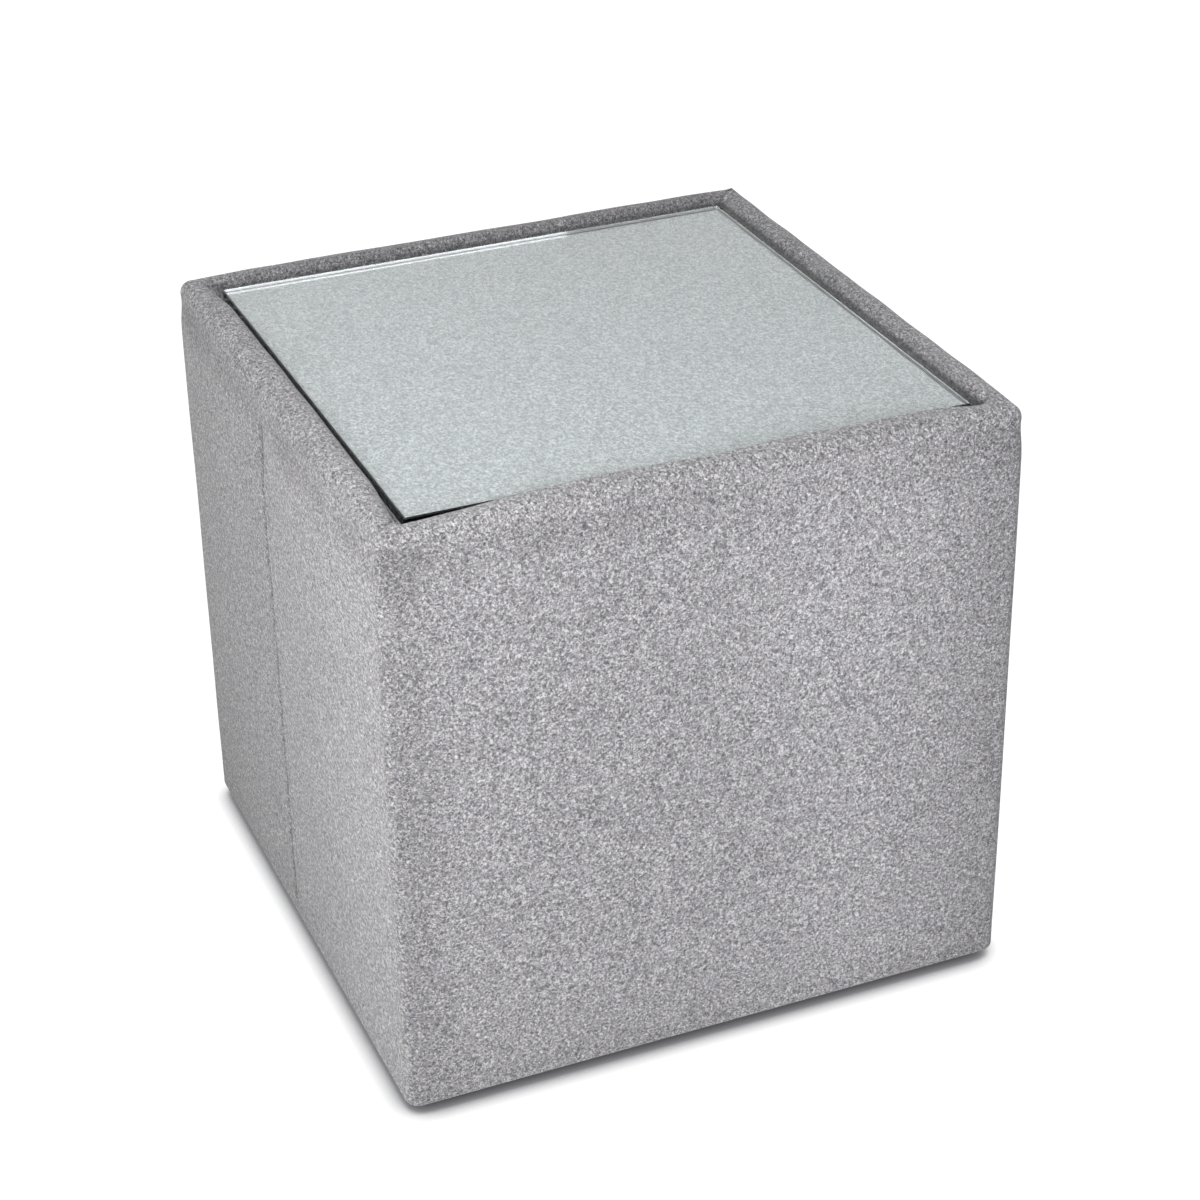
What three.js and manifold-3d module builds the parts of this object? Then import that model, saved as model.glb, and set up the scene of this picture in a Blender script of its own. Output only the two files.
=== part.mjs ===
// Upholstered storage cube: a padded box covered in felt, with a lift-out lid board that carries
// a loose glass top. Millimetres, +Z up. The origin is on the floor under the middle of the box,
// the front faces -Y and the left side faces -X.

import * as THREE from 'three';
import { mergeVertices } from 'three/addons/utils/BufferGeometryUtils.js';
import Module from 'manifold-3d';

const wasm = await Module();
wasm.setup();

// Overall size.
const WIDTH = 450; // outside of the felt, both ways
const HEIGHT = 440; // floor to the top of the rim
const FLOOR_CLEARANCE = 6; // floor to the felt under the base
const GAP = 0.3; // between pieces that touch
const RUN_OUT = 1; // how far a cutting solid runs past the face that it opens
const SAME_POINT = 0.03; // outline points closer than this are one
const HALF = WIDTH / 2;

// Thickness of the layers.
const FELT = 1.5;
const FOAM = 10;
const RIM_FOAM = 14;
const PANEL = 12;
const THIN_CLOTH = 0.8; // dust cover under the base and the lid's underside
const LINING = 1;
const FLOOR_BOARD = 2.5;
const GLASS = 8;
const LID_FELT = 1.2;
const LID_FOAM = 3;
const LID_BOARD = 12;

// Rounding of the upholstered box.
const CORNER_RADIUS = 10; // upright corners
const RIM_OUTER_RADIUS = 11;
const RIM_INNER_RADIUS = 9;
const BOTTOM_RADIUS = 5;
const RECESS_CORNER_RADIUS = 4;
const ARC_STEPS = 3; // per quarter turn, doubled by the curve sampler
const CORNER_STEPS = 6;

// Felt turned in under the base, and glass and lid in the recess.
const BASE_HEM = 24;
const LID_HEM = 30;
const GLASS_BELOW_RIM = 4;
const EDGE_PLAY = 2.1; // between the glass or lid and the felt round it
const GLASS_ARRIS = 0.8;
const GLASS_CORNER_RADIUS = 1.5;

// Timber inside the box.
const LEDGE_WIDTH = 20;
const LEDGE_HEIGHT = 18;
const BLOCK_LEG = 28; // triangular corner blocks

// Fasteners, glides and pull tab.
const SCREW_HEAD_RADIUS = 4;
const SCREW_SHANK_RADIUS = 2;
const SCREW_HEAD_DEPTH = 2.4;
const SCREW_POINT = 3;
const SCREW_SIDES = 16;
const PANEL_SCREW_LENGTH = 40;
const PANEL_SCREW_LEVELS = { lower: 100, upper: 330 };
const GLIDE_SCREW_LENGTH = 14;
const GLIDE_RADIUS = 14;
const GLIDE_CHAMFER = 1.4;
const GLIDE_INSET = 44; // from the outer face of the felt to the glide's axis
const GLIDE_SCREW_RECESS = 1.2;
const GLIDE_SIDES = 32;
const TAB_WIDTH = 26;
const TAB_THICKNESS = 1.2;
const TAB_BELOW_GLASS_TOP = 0.5;

// Distances in from the outer face of the felt.
const foamInset = FELT + GAP;
const panelInset = foamInset + FOAM + GAP;
const wallInset = panelInset + PANEL; // inner face of the wall panels
const recessInset = wallInset + GAP + FELT; // felt inside the rim
const panelHalf = HALF - panelInset;
const insideHalf = HALF - wallInset - GAP; // what stands against the inside of the panels
const lidHalf = HALF - recessInset - EDGE_PLAY;

// Heights above the floor, from the bottom up.
const feltBottom = FLOOR_CLEARANCE;
const baseBottom = feltBottom + FELT + GAP;
const baseTop = baseBottom + PANEL;
const insideFloor = baseTop + GAP;
const dustTop = feltBottom - GAP;
const dustBottom = dustTop - THIN_CLOTH;
const glideHeight = dustBottom - GAP;

// Heights from the top down.
const rimFoamTop = HEIGHT - FELT - GAP;
const rimFoamBottom = rimFoamTop - RIM_FOAM;
const panelTop = rimFoamBottom - GAP;
const glassTop = HEIGHT - GLASS_BELOW_RIM;
const glassBottom = glassTop - GLASS;
const lidTop = glassBottom - GAP;
const lidFoamTop = lidTop - LID_FELT - GAP;
const lidBoardTop = lidFoamTop - LID_FOAM - GAP;
const lidBoardBottom = lidBoardTop - LID_BOARD;
const lidBottom = lidBoardBottom - GAP - LID_FELT;
const ledgeTop = lidBottom - GAP;
const ledgeBottom = ledgeTop - LEDGE_HEIGHT;
const liningTop = ledgeBottom - GAP;

// The four sides, each made facing the front and turned into place.
const SIDES = [
  { name: 'front', turn: 0, between: false },
  { name: 'right', turn: Math.PI / 2, between: true },
  { name: 'back', turn: Math.PI, between: false },
  { name: 'left', turn: -Math.PI / 2, between: true },
];
const CORNERS = [
  { name: 'front_left', x: -1, y: -1, turn: 0 },
  { name: 'front_right', x: 1, y: -1, turn: Math.PI / 2 },
  { name: 'back_right', x: 1, y: 1, turn: Math.PI },
  { name: 'back_left', x: -1, y: 1, turn: -Math.PI / 2 },
];

// ---- materials ----

function material(color, roughness, metalness = 0) {
  return new THREE.MeshStandardMaterial({ color, roughness, metalness });
}

const felt = () => material(0x8b8c90, 0.95);
const foam = () => material(0xe6dfc8, 0.9);
const plywood = () => material(0xc8a878, 0.7);
const softwood = () => material(0xd8bd8e, 0.75);
const lining = () => material(0x3a3b3f, 0.95);
const dustCloth = () => material(0x1c1c1e, 0.9);
const plastic = () => material(0x202022, 0.5);
const steel = () => material(0xb8bac0, 0.35, 1);
const webbing = () => material(0x6f7074, 0.85);

function glass() {
  const clear = material(0xcfe3dc, 0.05);
  clear.transparent = true;
  clear.opacity = 0.35;
  return clear;
}

// ---- solids ----

function piece(name, geometry, finish, height = 0) {
  const mesh = new THREE.Mesh(geometry, finish());
  mesh.name = name;
  mesh.position.z = height;
  return mesh;
}

function toManifold(geometry) {
  const bare = geometry.clone();
  bare.deleteAttribute('normal');
  bare.deleteAttribute('uv');
  const merged = mergeVertices(bare);
  const mesh = new wasm.Mesh({
    numProp: 3,
    vertProperties: new Float32Array(merged.attributes.position.array),
    triVerts: new Uint32Array(merged.index.array),
  });
  return new wasm.Manifold(mesh);
}

function toGeometry(manifold) {
  const mesh = manifold.getMesh();
  const geometry = new THREE.BufferGeometry();
  geometry.setAttribute('position', new THREE.BufferAttribute(mesh.vertProperties, 3));
  geometry.setIndex(new THREE.BufferAttribute(mesh.triVerts, 1));
  geometry.computeVertexNormals();
  return geometry;
}

function cut(geometry, tools) {
  const whole = toManifold(geometry);
  return toGeometry(tools.reduce((rest, tool) => rest.subtract(toManifold(tool)), whole));
}

function slab(shape, thickness) {
  return new THREE.ExtrudeGeometry(shape, {
    depth: thickness,
    bevelEnabled: false,
    curveSegments: CORNER_STEPS,
  });
}

// A square with its corners rounded, seen from above.
function roundedSquare(half, radius) {
  const shape = new THREE.Shape();
  const centre = half - radius;
  shape.absarc(centre, centre, radius, 0, Math.PI / 2);
  shape.absarc(-centre, centre, radius, Math.PI / 2, Math.PI);
  shape.absarc(-centre, -centre, radius, Math.PI, Math.PI * 1.5);
  shape.absarc(centre, -centre, radius, Math.PI * 1.5, Math.PI * 2);
  shape.closePath();
  return shape;
}

// A square whose corners may be cut off at 45 degrees.
function choppedSquare(half, chop = 0) {
  const side = [new THREE.Vector2(half, chop - half)];
  if (chop > 0) {
    side.push(new THREE.Vector2(half, half - chop));
  }
  const middle = new THREE.Vector2();
  const turns = [0, 1, 2, 3].map((quarter) => quarter * (Math.PI / 2));
  return new THREE.Shape(turns.flatMap((turn) => side.map((p) => p.clone().rotateAround(middle, turn))));
}

// One level line round the box, at a distance in from its outer face.
function boxLoop(inset, height) {
  const radius = Math.max(CORNER_RADIUS - inset, RECESS_CORNER_RADIUS);
  const centre = HALF - inset - radius;
  const points = [];
  for (let corner = 0; corner < 4; corner += 1) {
    const middle = (corner + 0.5) * (Math.PI / 2);
    const cx = centre * Math.sign(Math.cos(middle));
    const cy = centre * Math.sign(Math.sin(middle));
    for (let step = 0; step <= CORNER_STEPS; step += 1) {
      const angle = (corner + step / CORNER_STEPS) * (Math.PI / 2);
      points.push(cx + radius * Math.cos(angle), cy + radius * Math.sin(angle), height);
    }
  }
  return points;
}

// A closed profile of (inset, height) carried round the box. It climbs the outside first.
function ringSolid(profile) {
  const loopLength = 4 * (CORNER_STEPS + 1);
  const positions = profile.flatMap((point) => boxLoop(point.x, point.y));
  const faces = [];
  for (let row = 0; row < profile.length; row += 1) {
    const next = (row + 1) % profile.length;
    for (let i = 0; i < loopLength; i += 1) {
      const j = (i + 1) % loopLength;
      const a = row * loopLength + i;
      const b = row * loopLength + j;
      const c = next * loopLength + j;
      const d = next * loopLength + i;
      faces.push(a, b, c, a, c, d);
    }
  }
  const geometry = new THREE.BufferGeometry();
  geometry.setAttribute('position', new THREE.Float32BufferAttribute(positions, 3));
  geometry.setIndex(faces);
  geometry.computeVertexNormals();
  return geometry;
}

function closedProfile(path) {
  const points = path.getPoints(ARC_STEPS);
  return points.filter((point, i) => i === 0 || point.distanceTo(points[i - 1]) > SAME_POINT);
}

// The quarter of a ring that belongs to the front, between mitres through the corners.
function frontQuarter(ring) {
  const wedge = new THREE.Shape();
  const apex = -GAP / Math.SQRT2;
  wedge.moveTo(0, apex);
  wedge.lineTo(-WIDTH, apex - WIDTH);
  wedge.lineTo(WIDTH, apex - WIDTH);
  wedge.closePath();
  return toGeometry(toManifold(ring).intersect(toManifold(slab(wedge, HEIGHT))));
}

// A countersunk wood screw with its head's face at the origin, pointing along +Z. A positive
// clearance gives the hole that takes it, with the head's opening carried back by access.
function screwSolid(length, clearance = 0, access = 0) {
  const head = SCREW_HEAD_RADIUS + clearance;
  const shank = SCREW_SHANK_RADIUS + clearance;
  const start = -access;
  const profile = [
    new THREE.Vector2(0, start),
    new THREE.Vector2(head, start),
    new THREE.Vector2(head, clearance),
    new THREE.Vector2(shank, SCREW_HEAD_DEPTH + clearance),
    new THREE.Vector2(shank, length - SCREW_POINT + clearance),
    new THREE.Vector2(0, length + clearance),
  ];
  const distinct = profile.filter((point, i) => i === 0 || point.distanceTo(profile[i - 1]) > 0);
  const geometry = new THREE.LatheGeometry(distinct, SCREW_SIDES);
  geometry.rotateX(Math.PI / 2);
  return geometry;
}

// ---- upholstery on the box ----

function outerCover() {
  const rimOuter = HEIGHT - RIM_OUTER_RADIUS;
  const rimInner = HEIGHT - RIM_INNER_RADIUS;
  const innerCentre = recessInset - RIM_INNER_RADIUS;
  const bottomCentre = feltBottom + BOTTOM_RADIUS;
  const feltEnd = ledgeTop + GAP;
  const quarter = Math.PI / 2;
  const path = new THREE.Path();
  path.moveTo(BASE_HEM, feltBottom);
  path.absarc(BOTTOM_RADIUS, bottomCentre, BOTTOM_RADIUS, -quarter, -Math.PI, true);
  path.absarc(RIM_OUTER_RADIUS, rimOuter, RIM_OUTER_RADIUS, Math.PI, quarter, true);
  path.absarc(innerCentre, rimInner, RIM_INNER_RADIUS, quarter, 0, true);
  path.lineTo(recessInset, feltEnd);
  path.lineTo(recessInset - FELT, feltEnd);
  path.absarc(innerCentre, rimInner, RIM_INNER_RADIUS - FELT, 0, quarter, false);
  path.absarc(RIM_OUTER_RADIUS, rimOuter, RIM_OUTER_RADIUS - FELT, quarter, Math.PI, false);
  path.absarc(BOTTOM_RADIUS, bottomCentre, BOTTOM_RADIUS - FELT, -Math.PI, -quarter, false);
  path.lineTo(BASE_HEM, feltBottom + FELT);
  return piece('outer_cover', ringSolid(closedProfile(path)), felt);
}

// The pads fit the square corners of the carcass inside and the cover's round ones outside.
function wallFoamRing() {
  const outline = roundedSquare(HALF - foamInset, CORNER_RADIUS - foamInset);
  outline.holes.push(choppedSquare(HALF - foamInset - FOAM));
  const bottom = feltBottom + BOTTOM_RADIUS;
  const ring = slab(outline, panelTop - bottom);
  ring.translate(0, 0, bottom);
  return ring;
}

function rimFoamRing() {
  const outer = RIM_OUTER_RADIUS - foamInset;
  const inner = RIM_INNER_RADIUS - foamInset;
  const quarter = Math.PI / 2;
  const path = new THREE.Path();
  path.moveTo(foamInset, rimFoamBottom);
  path.absarc(foamInset + outer, rimFoamTop - outer, outer, Math.PI, quarter, true);
  path.absarc(wallInset - inner, rimFoamTop - inner, inner, quarter, 0, true);
  path.lineTo(wallInset, rimFoamBottom);
  return ringSolid(closedProfile(path));
}

function foamPads() {
  const group = new THREE.Group();
  for (const side of SIDES) {
    const pads = new THREE.Group();
    pads.rotation.z = side.turn;
    pads.add(piece(`${side.name}_wall_foam`, frontQuarter(wallFoamRing()), foam));
    pads.add(piece(`${side.name}_rim_foam`, frontQuarter(rimFoamRing()), foam));
    group.add(pads);
  }
  return group;
}

// ---- carcass ----

// Each front and back panel is held to the side panels' ends by two screws at either end.
function panelScrews() {
  const screws = [];
  for (const [level, height] of Object.entries(PANEL_SCREW_LEVELS)) {
    for (const end of [-1, 1]) {
      screws.push({ level, end, x: end * (panelHalf - PANEL / 2), height });
    }
  }
  return screws;
}

function screwHoles() {
  return panelScrews().map(({ x, height }) => {
    const hole = screwSolid(PANEL_SCREW_LENGTH, GAP, RUN_OUT);
    hole.rotateX(-Math.PI / 2);
    hole.translate(x, -panelHalf, height);
    return hole;
  });
}

function throughPanel(side) {
  const height = panelTop - insideFloor;
  const panel = new THREE.BoxGeometry(2 * panelHalf, PANEL, height);
  panel.translate(0, -panelHalf + PANEL / 2, insideFloor + height / 2);
  return piece(`${side.name}_panel`, cut(panel, screwHoles()), plywood);
}

function betweenPanel(side) {
  const height = panelTop - insideFloor;
  const length = 2 * (panelHalf - PANEL - GAP);
  const panel = new THREE.BoxGeometry(length, PANEL, height);
  panel.translate(0, -panelHalf + PANEL / 2, insideFloor + height / 2);
  const holes = [-Math.PI / 2, Math.PI / 2].flatMap((turn) => screwHoles().map((hole) => hole.rotateZ(turn)));
  return piece(`${side.name}_panel`, cut(panel, holes), plywood);
}

function screwSet(side) {
  return panelScrews().map(({ level, end, x, height }) => {
    const geometry = screwSolid(PANEL_SCREW_LENGTH);
    geometry.rotateX(-Math.PI / 2);
    const hand = side.turn === 0 ? end : -end;
    const screw = piece(`${side.name}_${hand < 0 ? 'left' : 'right'}_${level}_screw`, geometry, steel);
    screw.position.set(x, -panelHalf, height);
    return screw;
  });
}

function ledge(side) {
  const length = side.between ? 2 * (insideHalf - LEDGE_WIDTH - GAP) : 2 * insideHalf;
  const geometry = new THREE.BoxGeometry(length, LEDGE_WIDTH, LEDGE_HEIGHT);
  geometry.translate(0, -insideHalf + LEDGE_WIDTH / 2, LEDGE_HEIGHT / 2);
  return piece(`${side.name}_lid_ledge`, geometry, softwood, ledgeBottom);
}

function walls() {
  const group = new THREE.Group();
  for (const side of SIDES) {
    const wall = new THREE.Group();
    wall.rotation.z = side.turn;
    wall.add(side.between ? betweenPanel(side) : throughPanel(side));
    wall.add(ledge(side));
    if (!side.between) {
      wall.add(...screwSet(side));
    }
    group.add(wall);
  }
  return group;
}

function cornerBlocks() {
  const triangle = new THREE.Shape();
  triangle.moveTo(-insideHalf, -insideHalf);
  triangle.lineTo(-insideHalf + BLOCK_LEG, -insideHalf);
  triangle.lineTo(-insideHalf, -insideHalf + BLOCK_LEG);
  triangle.closePath();
  const group = new THREE.Group();
  for (const corner of CORNERS) {
    const name = `${corner.name}_corner_block`;
    const block = piece(name, slab(triangle, liningTop - insideFloor), softwood, insideFloor);
    block.rotation.z = corner.turn;
    group.add(block);
  }
  return group;
}

function glidePlaces() {
  const reach = HALF - GLIDE_INSET;
  return CORNERS.map(({ name, x, y }) => ({ name, x: x * reach, y: y * reach }));
}

function glideHoles() {
  return glidePlaces().map(({ x, y }) => {
    const hole = screwSolid(GLIDE_SCREW_LENGTH, GAP, GLIDE_SCREW_RECESS + RUN_OUT);
    return hole.translate(x, y, GLIDE_SCREW_RECESS);
  });
}

function basePanel() {
  const panel = new THREE.BoxGeometry(2 * panelHalf, 2 * panelHalf, PANEL);
  panel.translate(0, 0, baseBottom + PANEL / 2);
  return piece('base_panel', cut(panel, glideHoles()), plywood);
}

function dustCover() {
  const sheet = slab(roundedSquare(HALF - BASE_HEM / 2, CORNER_RADIUS / 2), THIN_CLOTH);
  sheet.translate(0, 0, dustBottom);
  return piece('dust_cover', cut(sheet, glideHoles()), dustCloth);
}

function glides() {
  const profile = [
    new THREE.Vector2(0, 0),
    new THREE.Vector2(GLIDE_RADIUS - GLIDE_CHAMFER, 0),
    new THREE.Vector2(GLIDE_RADIUS, GLIDE_CHAMFER),
    new THREE.Vector2(GLIDE_RADIUS, glideHeight),
    new THREE.Vector2(0, glideHeight),
  ];
  const disc = new THREE.LatheGeometry(profile, GLIDE_SIDES);
  disc.rotateX(Math.PI / 2);
  const hole = screwSolid(GLIDE_SCREW_LENGTH, GAP, GLIDE_SCREW_RECESS + RUN_OUT);
  hole.translate(0, 0, GLIDE_SCREW_RECESS);
  const group = new THREE.Group();
  for (const { name, x, y } of glidePlaces()) {
    const glide = piece(`${name}_glide`, cut(disc, [hole]), plastic);
    glide.position.set(x, y, 0);
    const screw = piece(`${name}_glide_screw`, screwSolid(GLIDE_SCREW_LENGTH), steel);
    screw.position.set(x, y, GLIDE_SCREW_RECESS);
    group.add(glide, screw);
  }
  return group;
}

// ---- compartment lining ----

// A line drawn this much inside the panels clears the corner blocks' slanted faces by the same.
function liningOutline(offset) {
  const half = insideHalf - offset;
  const diagonal = 2 * insideHalf - BLOCK_LEG - Math.SQRT2 * (GAP + offset);
  return choppedSquare(half, 2 * half - diagonal);
}

function compartmentLining() {
  const outline = liningOutline(0);
  outline.holes.push(liningOutline(LINING));
  const wallLining = slab(outline, liningTop - insideFloor);
  const floor = slab(liningOutline(LINING + GAP), FLOOR_BOARD);
  const group = new THREE.Group();
  group.add(piece('wall_lining', wallLining, lining, insideFloor));
  group.add(piece('floor_lining_board', floor, lining, insideFloor));
  return group;
}

// ---- lid and glass ----

function lidCover() {
  const outside = slab(roundedSquare(lidHalf, RECESS_CORNER_RADIUS), lidTop - lidBottom);
  const padHeight = lidTop - LID_FELT - lidBoardBottom + GAP;
  const inside = slab(roundedSquare(lidHalf - LID_FELT, RECESS_CORNER_RADIUS - LID_FELT), padHeight);
  inside.translate(0, 0, LID_FELT);
  const opening = slab(roundedSquare(lidHalf - LID_HEM, RECESS_CORNER_RADIUS), LID_FELT + 2 * RUN_OUT);
  opening.translate(0, 0, -RUN_OUT);
  return piece('lid_cover', cut(outside, [inside, opening]), felt, lidBottom);
}

function lidPad(name, thickness, finish, height) {
  const half = lidHalf - LID_FELT - GAP;
  return piece(name, slab(roundedSquare(half, RECESS_CORNER_RADIUS / 2), thickness), finish, height);
}

function lidUnderside() {
  const half = insideHalf - LEDGE_WIDTH - EDGE_PLAY - GAP;
  const sheet = slab(roundedSquare(half, RECESS_CORNER_RADIUS), THIN_CLOTH);
  return piece('lid_underside_lining', sheet, lining, lidBottom - GAP - THIN_CLOTH);
}

// A loop of webbing sewn to the front edge of the lid's cover, standing up beside the glass.
function pullTab() {
  const height = glassTop - TAB_BELOW_GLASS_TOP - lidBoardBottom;
  const radius = TAB_WIDTH / 4;
  const half = TAB_WIDTH / 2;
  const shape = new THREE.Shape();
  shape.moveTo(-half, 0);
  shape.lineTo(half, 0);
  shape.absarc(half - radius, height - radius, radius, 0, Math.PI / 2);
  shape.absarc(-half + radius, height - radius, radius, Math.PI / 2, Math.PI);
  shape.closePath();
  const geometry = slab(shape, TAB_THICKNESS);
  geometry.rotateX(Math.PI / 2);
  geometry.translate(0, -lidHalf - GAP, 0);
  return piece('pull_tab', geometry, webbing, lidBoardBottom);
}

function lid() {
  const group = new THREE.Group();
  group.add(lidPad('lid_board', LID_BOARD, plywood, lidBoardBottom));
  group.add(lidPad('lid_foam', LID_FOAM, foam, lidBoardTop + GAP));
  group.add(lidCover());
  group.add(lidUnderside());
  group.add(pullTab());
  return group;
}

function glassPlate() {
  const geometry = new THREE.ExtrudeGeometry(
    roundedSquare(lidHalf - GLASS_ARRIS, GLASS_CORNER_RADIUS - GLASS_ARRIS),
    {
      depth: GLASS - 2 * GLASS_ARRIS,
      bevelThickness: GLASS_ARRIS,
      bevelSize: GLASS_ARRIS,
      bevelSegments: 1,
      curveSegments: CORNER_STEPS,
    },
  );
  geometry.translate(0, 0, GLASS_ARRIS);
  return piece('glass_plate', geometry, glass, glassBottom);
}

const ottoman = new THREE.Group();
ottoman.add(basePanel());
ottoman.add(walls());
ottoman.add(cornerBlocks());
ottoman.add(foamPads());
ottoman.add(outerCover());
ottoman.add(compartmentLining());
ottoman.add(dustCover());
ottoman.add(glides());
ottoman.add(lid());
ottoman.add(glassPlate());

export default ottoman;
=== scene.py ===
import math

import bpy
import numpy as np
from mathutils import Matrix, Vector, noise


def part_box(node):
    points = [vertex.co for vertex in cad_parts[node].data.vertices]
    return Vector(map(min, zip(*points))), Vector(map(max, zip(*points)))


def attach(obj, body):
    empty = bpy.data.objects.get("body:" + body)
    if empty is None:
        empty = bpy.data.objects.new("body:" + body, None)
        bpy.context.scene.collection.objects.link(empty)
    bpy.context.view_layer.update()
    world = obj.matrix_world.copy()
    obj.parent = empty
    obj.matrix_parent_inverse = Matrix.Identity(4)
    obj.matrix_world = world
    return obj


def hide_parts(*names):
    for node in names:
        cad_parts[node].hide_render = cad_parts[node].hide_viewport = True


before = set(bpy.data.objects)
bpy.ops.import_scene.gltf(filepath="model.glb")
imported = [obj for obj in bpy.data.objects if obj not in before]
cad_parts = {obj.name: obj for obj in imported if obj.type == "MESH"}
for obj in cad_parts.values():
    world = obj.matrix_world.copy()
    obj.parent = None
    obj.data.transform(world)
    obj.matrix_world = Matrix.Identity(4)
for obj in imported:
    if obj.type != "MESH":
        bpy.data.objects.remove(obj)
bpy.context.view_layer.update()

MM = 0.001

# ---------------- sizes taken from the frame

COVER_LOW, COVER_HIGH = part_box("outer_cover")
HALF = COVER_HIGH.x
FELT_BOTTOM = COVER_LOW.z
RIM_TOP = COVER_HIGH.z
LEDGE_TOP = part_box("front_lid_ledge")[1].z
LID_LOW, LID_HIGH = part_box("lid_cover")
EDGE_PLAY = 2.1 * MM  # between the lid and the felt round it
RECESS_HALF = LID_HIGH.x + EDGE_PLAY
RIM_WIDTH = HALF - RECESS_HALF

# ---------------- sizes of the upholstery

GAP = 0.3 * MM  # between pieces that touch
FELT = 1.5 * MM
LID_FELT = 1.2 * MM
CORNER_RADIUS = 10 * MM
RECESS_CORNER_RADIUS = 4 * MM
RIM_OUTER_RADIUS = 11 * MM
RIM_INNER_RADIUS = 9 * MM
BOTTOM_RADIUS = 5 * MM
BASE_HEM = 24 * MM
LID_HEM = 30 * MM
WALL_PAD_GIVE = 2.2 * MM  # how far the felt presses the foam in
RIM_PAD_GIVE = 4.0 * MM
BLOCK_LEG = 28 * MM  # corner blocks, which the lining goes round
RUN = 2 * (HALF - CORNER_RADIUS)  # straight part of each side
SEAM_PLACE = 21 * MM  # of the upright seam, behind the middle of the left side


# ---------------- things and nodes


def set_all(thing, **values):
    for name, value in values.items():
        setattr(thing, name, value)
    return thing


def put_in_scene(name, data):
    thing = bpy.data.objects.new(name, data)
    bpy.context.scene.collection.objects.link(thing)
    return thing


def put_mesh(name, points, faces):
    mesh = bpy.data.meshes.new(name)
    mesh.from_pydata([tuple(p) for p in points], [], faces)
    return put_in_scene(name, mesh)


def add_node(tree, kind, inputs=(), output=0, **settings):
    """A new shader node, with each of these inputs given a value or the output that feeds it. Gives
    the node's own output."""
    node = set_all(tree.nodes.new(f"ShaderNode{kind}"), **settings)
    for key, value in dict(inputs).items():
        socket = node.inputs[key]
        if isinstance(value, bpy.types.NodeSocket):
            tree.links.new(value, socket)
        else:
            socket.default_value = (*value, 1) if socket.type == "RGBA" else value
    return node.outputs[output]


class Shader:
    """A material being built: a few short calls for the nodes used here."""

    def __init__(self, name, roughness, **constants):
        self.material = bpy.data.materials.new(name)
        self.material.use_nodes = True
        self.tree = self.material.node_tree
        self.surface = self.tree.nodes["Principled BSDF"]
        self.surface.inputs["Roughness"].default_value = roughness
        for socket, value in constants.items():
            self.surface.inputs[socket.replace("_", " ")].default_value = value
        self.place = self.add("TexCoord", output="Object")

    def add(self, kind, inputs=(), output=0, **settings):
        return add_node(self.tree, kind, inputs, output, **settings)

    def feed(self, socket, output):
        self.tree.links.new(output, self.surface.inputs[socket])

    def show(self, fac, first, second):
        """Makes the material show a mix of two surfaces."""
        mix = self.add("MixShader", {0: fac, 1: first, 2: second})
        self.tree.links.new(mix, self.tree.nodes["Material Output"].inputs["Surface"])

    def stretched(self, scale):
        return self.add("Mapping", {"Scale": scale, "Vector": self.place})

    def noise(self, scale, detail=2.0, roughness=0.5, distortion=0.0, vector=None):
        inputs = {"Scale": scale, "Detail": detail, "Roughness": roughness, "Distortion": distortion}
        return self.add("TexNoise", {**inputs, "Vector": vector or self.place})

    def cells(self, scale):
        return self.add("TexVoronoi", {"Scale": scale, "Vector": self.place})

    def bands(self, scale, direction, distortion, detail=2.0, vector=None):
        inputs = {"Scale": scale, "Distortion": distortion, "Detail": detail, "Vector": vector or self.place}
        return self.add("TexWave", inputs, "Fac", bands_direction=direction)

    def maths(self, operation, first, second=0.0):
        return self.add("Math", {0: first, 1: second}, operation=operation)

    def summed(self, first, first_share, second, second_share):
        parts = [self.maths("MULTIPLY", first, first_share), self.maths("MULTIPLY", second, second_share)]
        return self.maths("ADD", *parts)

    def ramp(self, fac, stops):
        colour = self.add("ValToRGB", {"Fac": fac})
        elements = colour.node.color_ramp.elements
        while len(elements) < len(stops):
            elements.new(0.5)
        for element, (position, shade) in zip(elements, stops):
            set_all(element, position=position, color=(*shade, 1))
        return colour

    def mixed(self, fac, first, second, blend="MIX"):
        return self.add("Mix", {0: fac, 6: first, 7: second}, 2, data_type="RGBA", blend_type=blend)

    def stained(self, body, stain, amount, patches):
        """A colour multiplied by a stain, as much as the patches say."""
        return self.mixed(self.maths("MULTIPLY", patches, amount), body, stain, "MULTIPLY")

    def roughness(self, fac, low, high):
        self.feed("Roughness", self.add("MapRange", {"To Min": low, "To Max": high, "Value": fac}))

    def bump(self, height, strength, distance):
        self.feed("Normal", self.add("Bump", {"Strength": strength, "Distance": distance, "Height": height}))


# ---------------- camera, lights and floor

CAMERA_AZIMUTH = -22.43  # degrees from looking along +Y
CAMERA_ELEVATION = 29.08
CAMERA_ROLL = -0.99
CAMERA_DISTANCE = 2.0437
CAMERA_ACROSS = -0.0113  # where the middle of the box lies from the lens axis
CAMERA_UP = -0.0096
LENS = 84.5
SENSOR = 36.0

LIGHT_TARGET = (-0.1, -0.1, 0.25)
WARM = (1.0, 0.995, 0.98)
COOL = (0.97, 0.965, 1.0)
LIGHTS = [  # name, place, size, power and colour
    ("key_light", (-0.8, -0.8, 1.4), 0.8, 18.5, WARM),
    ("low_light", (-1.1, -1.1, 0.9), 0.9, 10, WARM),
    ("front_light", (0.2, -2.2, 1.2), 1.6, 29.5, COOL),
]
BACKDROP_LIGHT = 0.9
OVEREXPOSED = 1.1  # how bright the camera sees the backdrop and the floor
FLOOR_REACH = 30.0
FLOOR_SHADOW_REACH = 0.023


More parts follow.
